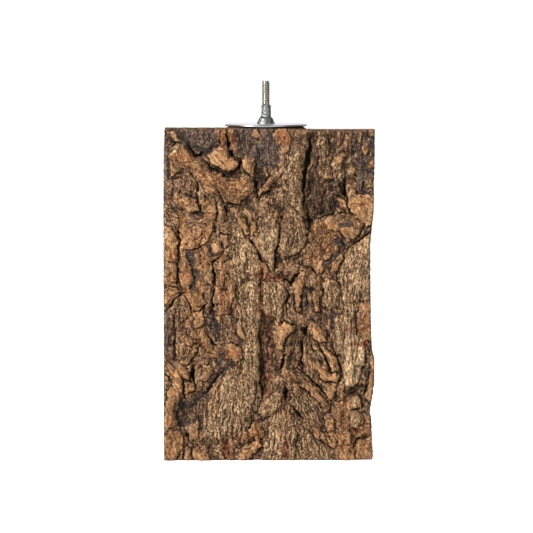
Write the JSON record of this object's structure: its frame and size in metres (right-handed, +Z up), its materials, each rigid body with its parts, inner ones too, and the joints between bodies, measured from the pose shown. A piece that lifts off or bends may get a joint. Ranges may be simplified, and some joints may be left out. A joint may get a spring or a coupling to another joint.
{
  "type": "cork bark slab",
  "caption": "Upright sawn slab of rough virgin cork bark with a threaded steel stud and washer disc on its top edge.",
  "frame": {"origin": "middle of the base of the whole object's box, on the lower saw cut", "axes": "+Z up along the stud, -Y towards the rough bark face, +X to the right of someone who looks at the bark"},
  "size_m": [0.158, 0.07, 0.285],
  "materials": {
    "cork_bark": "rough, cracked, unfinished cork bark with saw-cut edges",
    "disc_steel": "bright zinc-plated sheet steel",
    "stud_steel": "zinc-plated steel thread",
    "weld_metal": "rough grey weld bead"
  },
  "bodies": {
    "root": {"cork_bark_slab": "cork_bark", "washer_disc": "disc_steel", "hanger_bolt": "stud_steel", "weld_fillet": "weld_metal"}
  },
  "joints": []
}
